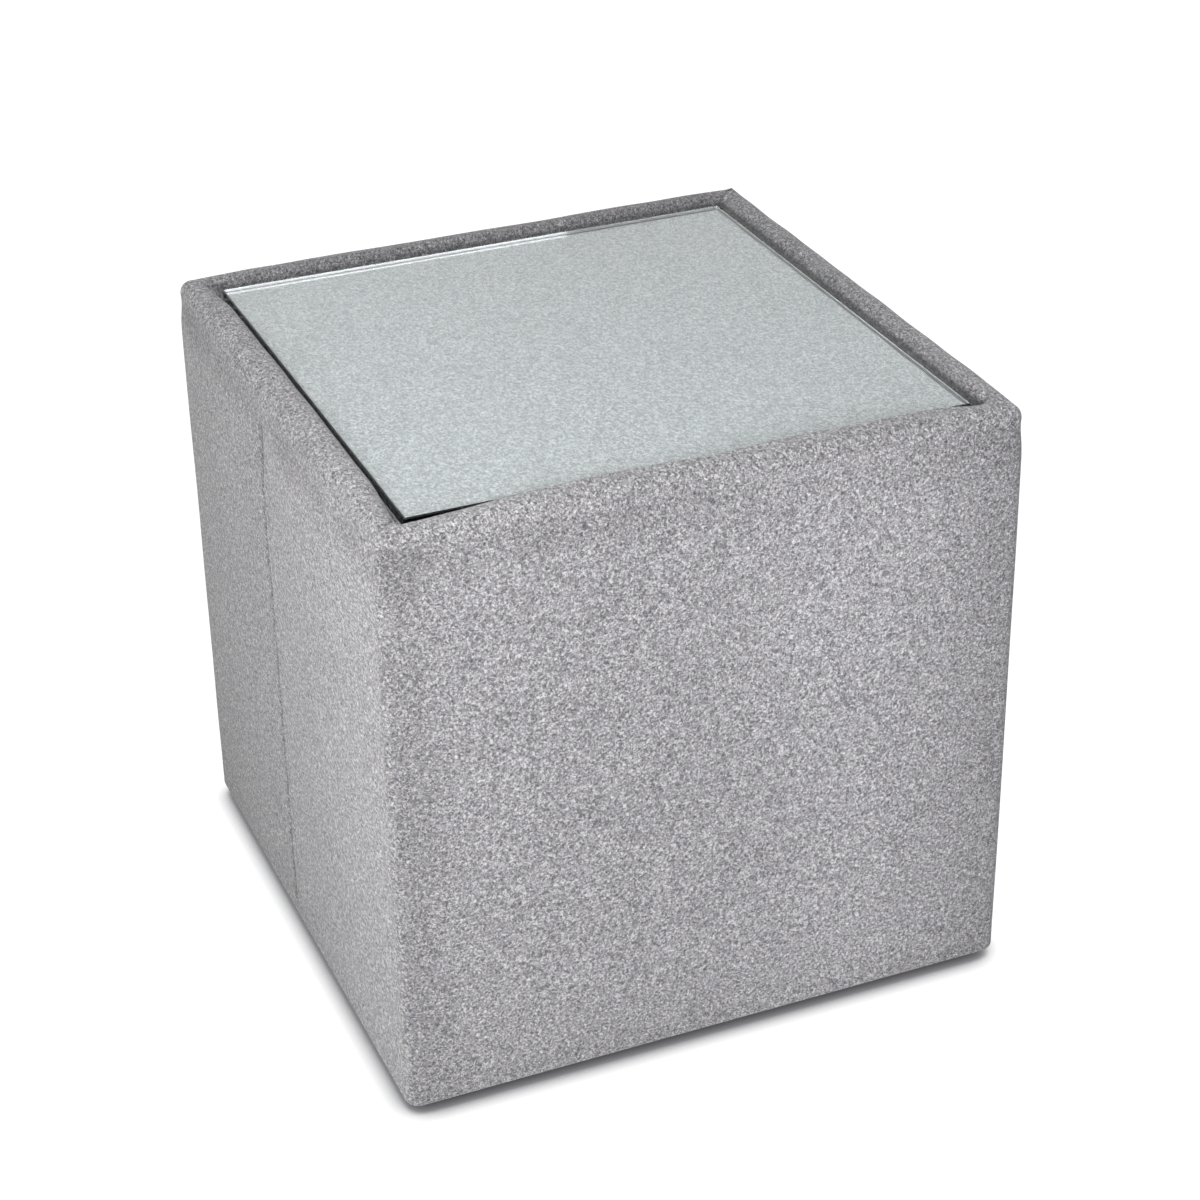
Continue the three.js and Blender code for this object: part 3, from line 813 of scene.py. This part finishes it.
def cover_painted_light(points, crown, stations):
    """Painted light and shade on the felt, as a share of its dyed colour: painted light on the near rims'
    crests and the far rims' outer shoulders, and painted shade inside the far rims, down into the recess, in
    a band under the rim, near the floor and up the nearest corner, with painted light falling off along the
    walls."""
    v = crown[:, None] / MM
    t = stations.t[None, :]
    height = points[..., 2] / MM
    share = stations.share[None, :]
    left, front = stations.on("left"), stations.on("front")
    # Painted light on the far rims' outer shoulders and the near rims' crests, painted shade on the back
    # rim's crest.
    painted_light = 1 + stations.by_side(0.03, 0.3, 0.2, 0.06) * hill(v, -9, 8)
    painted_light += stations.by_side(0.12, 0.0, -0.18, 0.1) * hill(v, 2, 8)
    # Painted shade inside the far rims and down into the recess.
    painted_light -= stations.by_side(0.0, 0.36, 0.38, 0.0) * smooth_step(v, 0, 10)
    painted_light -= stations.by_side(0.15, 0.46, 0.3, 0.2) * smooth_step(v, 8, 12)
    # Painted shade in a mottled band under the rim's shoulder.
    shade_under_rim = stations.by_side(0.12, 0.05, 0.05, 0.19) * hill(v, -30, 15)
    painted_light -= shade_under_rim * (1 + 0.9 * soft_noise(points, 40 * MM, 8))
    # Painted shade near the floor.
    painted_light -= 0.1 * (1 - smooth_step(height, 6, 45))
    # Painted light along the left wall towards the nearest corner, painted shade at its far end and low
    # down.
    left_wall_painted_light = 0.15 * smooth_step(t, 0.1, 0.95) - 0.12 * (1 - smooth_step(t, -1, -0.3))
    left_wall_painted_light = left_wall_painted_light - 0.18 * (1 - smooth_step(height, 0, 220))
    # Painted light on the front wall right of its middle, painted shade at both its ends.
    front_wall_painted_light = 0.15 * hill(t, 0.45, 0.32) - 0.17 * hill(t, -1, 0.1) - 0.1 * hill(t, 1, 0.1)
    wall_painted_light = left * (share == 0) * left_wall_painted_light + front * front_wall_painted_light
    # Painted shade up the nearest upright corner.
    wall_painted_light -= 0.2 * left * (share > 0) * hill(share, 0.75, 0.35)
    return painted_light + (v < -18) * wall_painted_light


def make_outer_cover(felt):
    stations = Stations(RUN, 18, 6 * MM, 1.1 * MM, 13 * MM, {"left": [-SEAM_PLACE]})
    profile = cover_profile(16, 6 * MM, 2.0 * MM)
    crown = distance_from_crown(profile)
    points = wrapped_points(stations, profile, HALF, CORNER_RADIUS, RECESS_CORNER_RADIUS)
    creases, crease_painted_shade = crease_shape(points, crown)
    seam, seam_painted_shade = seam_shape(points, stations)
    lift = cover_lift(points, profile, crown, stations) + creases + seam
    lift += cloth_relief(stations, crown)
    moved = points + lift[..., None] * stations.outward(profile[:, 2])
    faces = grid_faces(len(profile), len(stations.t))
    cover = new_piece("felt_cover", moved.reshape(-1, 3), faces, felt, "box", "felt", "outer_cover")
    # The cover's painted light and shade, darkened by the shade painted in the creases and along the seam.
    set_painted_light(cover, cover_painted_light(points, crown, stations) * (1 - np.clip(crease_painted_shade + seam_painted_shade, 0, 0.9)))
    thicken(cover, FELT)


# ---------------- foam pads


def make_pad(node, name, body, give, bevel_width, foam):
    """A foam pad with soft edges, pressed in all over by the cloth round it."""
    pad = put_in_scene(name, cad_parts[node].data.copy())
    pad.data.materials.clear()
    pad.data.materials.append(foam)
    set_all(pad.modifiers.new("weld", "WELD"), merge_threshold=0.05 * MM)
    bevel = pad.modifiers.new("bevel", "BEVEL")
    set_all(bevel, width=bevel_width, segments=3, limit_method="ANGLE", angle_limit=math.radians(50))
    set_all(pad.modifiers.new("pressed_in", "DISPLACE"), strength=-give, mid_level=0.0)
    apply_modifiers(pad)
    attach(pad, body)
    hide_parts(node)


def make_foam(foam):
    for side in SIDES:
        make_pad(f"{side}_wall_foam", f"{side}_wall_pad", "box", WALL_PAD_GIVE, 1.2 * MM, foam)
        make_pad(f"{side}_rim_foam", f"{side}_rim_pad", "box", RIM_PAD_GIVE, 3 * MM, foam)
    make_pad("lid_foam", "lid_pad", "lid", 0.1 * MM, 0.8 * MM, foam)


# ---------------- lid

LID_EDGE_RADIUS = 2.2 * MM


def lid_profile():
    """Rows of the lid's cover from its hem underneath to near the middle of its top."""
    edge = LID_EDGE_RADIUS
    low = LID_LOW.z + edge
    high = LID_HIGH.z - edge
    rows = flat_rows((LID_HEM, LID_LOW.z), (edge, LID_LOW.z), -90.0, 6)
    rows += bend_rows(edge, low, edge, -90, 0, 5)
    rows += flat_rows((0.0, low), (0.0, high), 0.0, 6)
    rows += bend_rows(edge, high, edge, 0, 90, 6)
    insets = spaced(LID_HIGH.x - 8 * MM, [0], 9 * MM, 3 * MM, 30 * MM)
    return np.array(rows + [(edge + inset, LID_HIGH.z, 90.0) for inset in insets])


def make_lid_cover(felt):
    half = LID_HIGH.x
    stations = Stations(2 * (half - RECESS_CORNER_RADIUS), 8, 9 * MM, 2.4 * MM, 16 * MM)
    profile = lid_profile()
    points = wrapped_points(stations, profile, half, RECESS_CORNER_RADIUS, 1.5 * MM)
    slope = profile[:, 2][:, None]
    ripple = soft_noise(points, 22 * MM, 4)
    from_end = 1 - np.abs(stations.t[None, :])
    pleats = np.abs(np.sin(np.pi * 6 * from_end)) * (1 - smooth_step(from_end, 0.05, 0.2))
    lift = 0.35 * MM * ripple * (np.abs(slope) < 80)
    lift -= (0.3 * (1 - ripple) + 0.5 * pleats) * MM * (slope < -80)
    moved = points + lift[..., None] * stations.outward(profile[:, 2])
    flat = np.vstack([moved.reshape(-1, 3), [[0, 0, LID_HIGH.z]]])
    faces = closed_on_middle(len(profile), len(stations.t))
    cover = new_piece("lid_felt", flat, faces, felt, "lid", "felt", "lid_cover")
    set_painted_light(cover, np.ones(len(flat)))
    thicken(cover, LID_FELT)


# ---------------- linings and dust cover


def make_wall_lining(lining):
    """Lining cloth hung inside the compartment, stapled under the ledges behind a turned hem."""
    low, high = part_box("wall_lining")
    thickness = 1 * MM
    chop = BLOCK_LEG + math.sqrt(2) * GAP
    outline, outward = rounded_outline(high.x, chop, 5 * MM, 5 * MM)
    drop = spaced(high.z - low.z, [0, 16 * MM], 10 * MM, 2.5 * MM, 14 * MM)[::-1]
    points = np.array([at_height(outline, high.z - fall) for fall in drop])
    folds = 0.5 + 0.5 * soft_noise(points * np.array([1, 1, 0.15]), 110 * MM, 11)
    creases = 0.5 + 0.5 * soft_noise(points * np.array([0.5, 0.5, 1]), 75 * MM, 12)
    free = smooth_step(drop, 10 * MM, 90 * MM)[:, None]
    hem = 0.7 * MM * (1 - smooth_step(drop, 14 * MM, 16 * MM))[:, None]
    inward = (2.6 * folds + 0.5 * creases) * MM * free + hem + thickness
    points[..., :2] -= inward[..., None] * outward[None]
    faces = grid_faces(len(drop), len(outline), flip=True)
    flat = points.reshape(-1, 3)
    sheet = new_piece("lining_cloth", flat, faces, lining, "box", "lining_cloth", "wall_lining")
    thicken(sheet, thickness)


def centred_rows(outline, outward, rows, middle_height):
    """Points of loops from an edge to the middle. Each row is (inset, share of the size, height)."""
    loops = [at_height((outline - outward * inset) * share, height) for inset, share, height in rows]
    return np.vstack([*loops, [[0, 0, middle_height]]])


def closed_on_middle(rows, columns, flip=False):
    faces = grid_faces(rows, columns, flip)
    return faces + fan_faces((rows - 1) * columns, columns, rows * columns, flip)


def make_floor_board(lining):
    """The board on the compartment's floor, wrapped in the lining cloth. Its chopped corners clear
    the corner blocks by 1.6 mm, and its sides the walls by 1.3 mm."""
    low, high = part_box("floor_lining_board")
    chop = BLOCK_LEG + (math.sqrt(2) * 1.6 - 2 * 1.3) * MM
    outline, outward = rounded_outline(high.x, chop, 3 * MM, 6 * MM)
    radius = (high.z - low.z) / 2
    middle = (high.z + low.z) / 2
    inner = np.linspace(1, 0.04, 26)[1:]
    rows = [(radius, share, low.z) for share in inner[::-1]]
    edge = bend_rows(radius, middle, radius, -90, 90, 8, with_end=True)
    rows += [(inset, 1.0, height) for inset, height, _ in edge]
    rows += [(radius, share, high.z) for share in inner]
    points = centred_rows(outline, outward, rows, high.z)
    loose = 0.5 + 0.5 * soft_noise(points, 30 * MM, 14)
    points[:, 2] -= 0.25 * MM * loose * (points[:, 2] > middle)
    points = np.vstack([points, [[0, 0, low.z]]])
    faces = closed_on_middle(len(rows), len(outline))
    faces += fan_faces(0, len(outline), len(points) - 1, flip=True)
    new_piece("covered_floor_board", points, faces, lining, "box", "lining_cloth", "floor_lining_board")


def level_cloth(half, corner, height, hem, ripple_size, seed, ripple_start):
    """Points and faces of a level square of cloth with a doubled hem, seen from below, and how rippled
    it is at each point. The hem's and the ripples' places are shares of half its size."""
    outline, outward = rounded_outline(half, 0, corner, 6 * MM)
    shares = spaced(0.96, [0], 0.03, 0.012, 0.05)
    points = centred_rows(outline, outward, [(0.0, 1 - share, height) for share in shares], height)
    inward = 1 - np.clip(np.abs(points[:, :2]).max(axis=1) / half, 0, 1)
    ripples = np.abs(soft_noise(points, ripple_size, seed)) * smooth_step(inward, *ripple_start)
    points[:, 2] -= 0.25 * MM * (1 - smooth_step(inward, hem, hem + 0.01))
    return points, closed_on_middle(len(shares), len(outline), flip=True), ripples


def make_dust_cover(nonwoven, steel):
    """Thin black cloth under the base, hemmed and stapled, sagging a little between its edges."""
    low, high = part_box("dust_cover")
    half = high.x
    points, faces, ripples = level_cloth(half, 5 * MM, low.z, 0.045, 35 * MM, 17, (0.02, 0.15))
    sag = np.prod(1 - (points[:, :2] / half) ** 2, axis=1)
    points[:, 2] -= (1.2 + 0.25 * ripples) * MM * sag
    sheet = new_piece("dust_cloth", points, faces, nonwoven, "box", "dust_cloth", "dust_cover")
    thicken(sheet, 0.5 * MM)
    make_staples("dust_cloth_staples", half - 6 * MM, low.z - 0.25 * MM, "box", steel)


def make_lid_underside(lining, steel):
    """The cloth that hides the board and the turned-in felt under the lid."""
    low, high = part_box("lid_underside_lining")
    height = low.z + 0.3 * MM
    points, faces, ripples = level_cloth(high.x, 3 * MM, height, 0.055, 28 * MM, 19, (0.06, 0.2))
    points[:, 2] += (0.2 - 0.3 * ripples) * MM
    node = "lid_underside_lining"
    sheet = new_piece("lid_underside_cloth", points, faces, lining, "lid", "lining_cloth", node)
    thicken(sheet, 0.4 * MM)
    make_staples("lid_underside_staples", high.x - 6 * MM, low.z + 0.1 * MM, "lid", steel)


STAPLE_CROWN = 9 * MM
STAPLE_LEG = 5 * MM
STAPLE_BEND = 0.7 * MM
STAPLES_PER_SIDE = 9


def staple_path(middle, turn):
    """A wire staple seen from below: its crown lies level and its legs go up."""
    half, bend = STAPLE_CROWN / 2, STAPLE_BEND
    bends = arc(bend - half, bend, bend, 180, 270, 3, True) + arc(half - bend, bend, bend, 270, 360, 3, True)
    path = [(-half, STAPLE_LEG), *[place[:2] for place in bends], (half, STAPLE_LEG)]
    cos, sin = math.cos(turn), math.sin(turn)
    x, y, z = middle
    return [(x + along * cos, y + along * sin, z + up) for along, up in path]


def make_staples(name, half, height, body, steel):
    """Staples driven upwards along the four edges of a cloth, each a little out of line."""
    parts = []
    for quarters in range(4):
        for index in range(STAPLES_PER_SIDE):
            place = (index - (STAPLES_PER_SIDE - 1) / 2) * (2 * half / STAPLES_PER_SIDE)
            wander = math.sin(7.1 * index + 2.3 * quarters)
            x, y = turned((place + 2.5 * MM * wander, -half + 0.8 * MM * wander), quarters)
            turn = quarters * math.pi / 2 + 0.12 * math.sin(3.7 * index + quarters)
            parts.append(tube(staple_path((x, y, height), turn), 0.35 * MM))
    new_piece(name, *joined(parts), steel, body, "screw_steel")


# ---------------- pull tab


def make_pull_tab(webbing, thread):
    """Webbing folded over, from the foot of its front layer to the foot of its back layer."""
    low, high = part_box("pull_tab")
    edge = 0.3 * MM
    front, back = low.y + edge, high.y - edge
    fold = (back - front) / 2
    top = high.z - fold - edge
    rise = np.linspace(low.z, top, 22)
    over = arc((front + back) / 2, top, fold, 150, 30, 4, True)
    section = [(front, z) for z in rise] + [place[:2] for place in over] + [(back, z) for z in rise[::-1]]
    places = np.linspace(low.x + edge, high.x - edge, 27)
    points = [(x, y, z) for y, z in section for x in places]
    faces = grid_faces(len(section), len(places), closed=False)
    tab = new_piece("webbing_tab", points, faces, webbing, "lid", "webbing", "pull_tab")
    thicken(tab, 0.5 * MM, 0)
    make_box_stitch(low, high, thread)


def make_box_stitch(low, high, thread):
    """Stitches in a crossed box through the foot of the tab."""
    left, right = low.x + 4 * MM, high.x - 4 * MM
    bottom, top = low.z + 3 * MM, low.z + 14 * MM
    corners = [(left, bottom), (right, bottom), (right, top), (left, top), (left, bottom), (right, top)]
    corners += [(right, bottom), (left, top)]
    front = low.y + 0.06 * MM
    stitch = [(0.08, 0.25 * MM), (0.3, 0), (0.7, 0), (0.92, 0.25 * MM)]
    parts = []
    for (x, z), (end_x, end_z) in zip(corners, corners[1:]):
        line = Vector((end_x - x, end_z - z))
        count = max(1, round(line.length / (2.4 * MM)))
        for index in range(count):
            shares = [((index + part) / count, depth) for part, depth in stitch]
            path = [(x + line.x * share, front + depth, z + line.y * share) for share, depth in shares]
            parts.append(tube(path, 0.16 * MM))
    new_piece("webbing_tab_stitches", *joined(parts), thread, "lid", "webbing")


# ---------------- screws and glides


SCREW_HEAD_RADIUS = 4 * MM
SCREW_HEAD_DEPTH = 2.4 * MM
SCREW_RECESS_DEPTH = 1.3 * MM
SCREW_SHANK_RADIUS = 2 * MM
SCREW_POINT = 3 * MM
THREAD_PITCH = 1.8 * MM


def cross_recess(x, y):
    """How deep the cross in a screw's head is at a place, from 0 to 1."""
    arm = 0.42 * MM
    reach = 2.0 * MM
    inside = []
    for along, across in ((x, y), (y, x)):
        end = 1 - smooth_step(np.abs(along), reach * 0.75, reach)
        side = 1 - smooth_step(np.abs(across), arm, arm + 0.35 * MM)
        inside.append(end * side)
    return np.maximum(*inside)


def screw_rows(length):
    """(radius, height, is it thread) of a countersunk wood screw, from its head to its point."""
    rows = [(SCREW_HEAD_RADIUS * share, 0.0, False) for share in np.linspace(0.05, 0.97, 18)]
    rows.append((SCREW_HEAD_RADIUS, 0.12 * MM, False))
    for share in np.linspace(0.1, 1, 6):
        radius = SCREW_HEAD_RADIUS + share * (SCREW_SHANK_RADIUS * 0.75 - SCREW_HEAD_RADIUS)
        rows.append((radius, SCREW_HEAD_DEPTH * share, False))
    neck = SCREW_HEAD_DEPTH + min(0.3 * length, 8 * MM) * 0.5
    for height in np.arange(neck, length - 0.2 * MM, THREAD_PITCH / 6):
        taper = min(1.0, (length - height) / SCREW_POINT)
        rows.append((SCREW_SHANK_RADIUS * taper, height, True))
    return rows


def round_angles(sides):
    return np.arange(sides) * 2 * math.pi / sides


def ring(radius, height, sides):
    angles = round_angles(sides)
    return at_height(np.column_stack([radius * np.cos(angles), radius * np.sin(angles)]), height)


def thread_shape(height, sides):
    """The share of the shank's radius that a thread has round one height."""
    phase = (height / THREAD_PITCH - round_angles(sides) / (2 * math.pi)) % 1.0
    ridge = 1 - np.minimum(phase, 1 - phase) * 2
    return 0.72 + 0.28 * ridge**2


def make_screw(node, steel):
    """Replaces a plain screw by one with a crossed head and a thread, in the same place."""
    low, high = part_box(node)
    size = high - low
    middle = (low + high) / 2
    upright = size.z > size.y
    length = size.z if upright else size.y
    sides = 24
    rings = []
    for radius, height, threaded in screw_rows(length):
        around = radius * thread_shape(height, sides) if threaded else radius
        loop = ring(around, height, sides)
        if height == 0:
            loop[:, 2] += SCREW_RECESS_DEPTH * cross_recess(*loop[:, :2].T)
        rings.append(loop)
    flat = np.vstack([*rings, [[0, 0, length]], [[0, 0, SCREW_RECESS_DEPTH]]])
    faces = closed_on_middle(len(rings), sides) + fan_faces(0, sides, len(flat) - 1, flip=True)
    turn, head = Matrix.Identity(3), (middle.x, middle.y, low.z)
    if not upright:
        turn = Matrix.Rotation(math.copysign(math.pi / 2, middle.y), 3, "X")
        head = (middle.x, high.y if middle.y > 0 else low.y, middle.z)
    placed = flat @ np.array(turn).T + np.array(head)
    new_piece(f"{node}_threaded", placed, faces, steel, "box", "screw_steel", node)


def make_glide(node, plastic):
    """A moulded glide with a rolled edge, a ring and a countersunk hole for its screw."""
    low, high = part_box(node)
    radius = (high.x - low.x) / 2
    top = high.z
    hole = SCREW_SHANK_RADIUS + GAP
    sink = SCREW_HEAD_RADIUS + GAP
    recess = 1.2 * MM
    edge = 1.4 * MM
    groove = 0.25 * MM
    ease = 0.3 * MM
    rolled = arc(radius - edge, edge, edge, -90, 0, 6, with_end=True)
    profile = [(hole, top), (hole, recess + SCREW_HEAD_DEPTH + GAP), (sink, recess + GAP), (sink, ease)]
    profile += [(sink + ease, 0.0), (0.62 * radius, 0.0), (0.65 * radius, groove), (0.7 * radius, groove)]
    profile += [(0.73 * radius, 0.0), *[place[:2] for place in rolled]]
    profile += [(radius, top - 0.5 * MM), (radius - 0.5 * MM, top)]
    sides = 56
    loops = [ring(reach, height, sides) for reach, height in profile]
    points = np.vstack(loops) + np.array([(low.x + high.x) / 2, (low.y + high.y) / 2, low.z])
    faces = grid_faces(len(loops), sides)
    last = (len(loops) - 1) * sides
    faces += [(last + i, last + (i + 1) % sides, (i + 1) % sides, i) for i in range(sides)]
    glide = new_piece(f"{node}_moulded", points, faces, plastic, "box", "glide_plastic", node)
    glide.data.set_sharp_from_angle(angle=math.radians(40))


CORNERS = [f"{row}_{side}" for row in ("front", "back") for side in ("left", "right")]


def make_fasteners(steel, plastic):
    for corner in CORNERS:
        make_glide(f"{corner}_glide", plastic)
        for part in ("glide", "lower", "upper"):
            make_screw(f"{corner}_{part}_screw", steel)


# ---------------- finishes of the CAD nodes


def finish_cad_nodes():
    finishes = {
        plywood_material("plywood_front_and_back", (28, 28, 2.2), "Y"): ["front_panel", "back_panel"],
        plywood_material("plywood_left_and_right", (28, 28, 2.2), "X"): ["left_panel", "right_panel"],
        plywood_material("plywood_level", (2.2, 28, 28), "Z"): ["base_panel", "lid_board"],
        softwood_material("softwood_crosswise", (2, 30, 30)): ["front_lid_ledge", "back_lid_ledge"],
        softwood_material("softwood_lengthwise", (30, 2, 30)): ["left_lid_ledge", "right_lid_ledge"],
        softwood_material("softwood_upright", (30, 30, 2)): [f"{corner}_corner_block" for corner in CORNERS],
        glass_material(): ["glass_plate"],
    }
    for material, nodes in finishes.items():
        for node in nodes:
            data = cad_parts[node].data
            data.materials.clear()
            data.materials.append(material)


# ---------------- the whole

FELT_SHADES = ((0.065, 0.064, 0.07), (0.18, 0.178, 0.188), (0.3, 0.297, 0.31), (0.58, 0.575, 0.585))
# The lid's felt under the glass: a copy of the cover's felt painted lighter, standing in for the light
# through the glass, and with less contrast.
LID_LIGHTENED_SHADES = ((0.13, 0.128, 0.134), (0.21, 0.208, 0.215), (0.335, 0.332, 0.34), (0.53, 0.525, 0.53))

make_camera()
make_world()
make_lights()
make_floor()

steel = steel_material()
lining = woven_material("lining_weave", (0.03, 0.03, 0.033), (0.11, 0.11, 0.118), 900)
webbing = woven_material("webbing_weave", (0.08, 0.08, 0.085), (0.26, 0.26, 0.27), 700)
thread = woven_material("sewing_thread", (0.16, 0.16, 0.165), (0.34, 0.34, 0.35), 2500)

finish_cad_nodes()
make_foam(foam_material())
make_outer_cover(felt_material("heather_felt", *FELT_SHADES))
make_lid_cover(felt_material("heather_felt_lightened_under_glass", *LID_LIGHTENED_SHADES))
make_wall_lining(lining)
make_floor_board(lining)
make_dust_cover(nonwoven_material(), steel)
make_lid_underside(lining, steel)
make_pull_tab(webbing, thread)
make_fasteners(steel, plastic_material())
